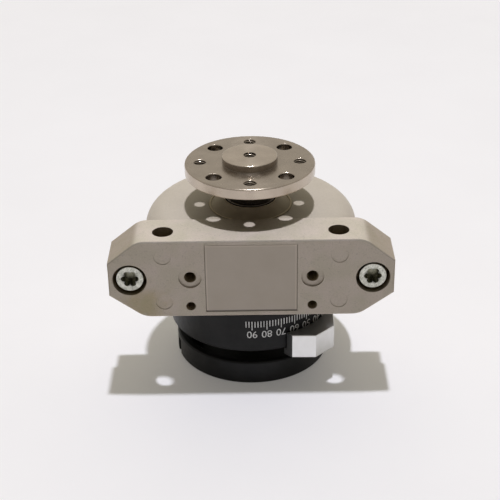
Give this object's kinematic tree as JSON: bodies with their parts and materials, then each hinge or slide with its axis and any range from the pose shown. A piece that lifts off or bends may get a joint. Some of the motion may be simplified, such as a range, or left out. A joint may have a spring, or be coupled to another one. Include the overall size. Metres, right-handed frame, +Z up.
{
  "type": "semi-rotary vane drive",
  "caption": "Pneumatic rotary drive: round vane housing, bar with air ports, flanged output shaft, and a stop lever that swings over a black degree scale.",
  "frame": {"origin": "on the shaft axis, in the plane that the rear cap stands on", "axes": "+Z up the shaft towards the output flange, -Y out of the face with the air ports"},
  "size_m": [0.1, 0.0696, 0.0794],
  "materials": {
    "cast_silver": "satin, shot blasted casting",
    "block_silver": "matt, bead blasted",
    "plate_silver": "satin foil",
    "nickel": "turned and nickel plated",
    "bright_steel": "zinc plated",
    "bearing_steel": "ground and polished",
    "brass_cage": "pressed",
    "black_rubber": "smooth",
    "black_plastic": "moulded, satin",
    "cover_metal": "machined",
    "vane_plastic": "moulded, glass filled",
    "stop_metal": "black oxide"
  },
  "bodies": {
    "housing": {"housing": "cast_silver", "port_block": "block_silver", "name_plate": "plate_silver", "block_screws": "bright_steel", "port_seals": "black_rubber", "bottom_cover": "cover_metal", "cover_gasket": "black_rubber", "cover_screws": "bright_steel", "upper_bearing_outer_ring": "bearing_steel", "upper_bearing_shield": "black_rubber", "lower_bearing_outer_ring": "bearing_steel", "lower_bearing_shield": "black_rubber", "upper_shaft_seal": "black_rubber", "lower_shaft_seal": "black_rubber", "scale_ring": "black_plastic", "ring_screws": "bright_steel", "rear_cap": "black_plastic", "cap_screws": "bright_steel", "dust_shield": "cast_silver"},
    "rotor": {"drive_shaft": "nickel", "vane_rotor": "vane_plastic", "vane_seal": "black_rubber", "vane_key": "bright_steel", "lever_key": "bright_steel", "stop_lever": "bright_steel", "lever_washer": "bright_steel", "lever_screw": "bright_steel", "upper_bearing_inner_ring": "bearing_steel", "lower_bearing_inner_ring": "bearing_steel"},
    "upper_ball_set": {"upper_bearing_balls": "bearing_steel", "upper_bearing_cage": "brass_cage"},
    "lower_ball_set": {"lower_bearing_balls": "bearing_steel", "lower_bearing_cage": "brass_cage"},
    "front_stop": {"front_stop": "stop_metal", "front_stop_buffer": "black_rubber", "front_stop_screw": "bright_steel", "front_stop_nut": "bright_steel"},
    "rear_stop": {"rear_stop": "stop_metal", "rear_stop_buffer": "black_rubber", "rear_stop_screw": "bright_steel", "rear_stop_nut": "bright_steel"}
  },
  "joints": [
    {"name": "shaft_swivel", "type": "hinge", "parent": "housing", "child": "rotor", "pos_m": [0, 0, 0], "axis": [0, 0, 1], "range_deg": [-44, 136]},
    {"name": "upper_balls_roll", "type": "hinge", "parent": "housing", "child": "upper_ball_set", "pos_m": [0, 0, 0], "axis": [0, 0, 1], "range_deg": [-20, 60]},
    {"name": "lower_balls_roll", "type": "hinge", "parent": "housing", "child": "lower_ball_set", "pos_m": [0, 0, 0], "axis": [0, 0, 1], "range_deg": [-20, 60]},
    {"name": "front_stop_setting", "type": "hinge", "parent": "housing", "child": "front_stop", "pos_m": [0, 0, 0], "axis": [0, 0, -1], "range_deg": [0, 4]},
    {"name": "rear_stop_setting", "type": "hinge", "parent": "housing", "child": "rear_stop", "pos_m": [0, 0, 0], "axis": [0, 0, 1], "range_deg": [0, 4]}
  ],
  "couplings": [
    {"joint": "upper_balls_roll", "follows": "shaft_swivel", "ratio": 0.4326},
    {"joint": "lower_balls_roll", "follows": "shaft_swivel", "ratio": 0.4326}
  ]
}
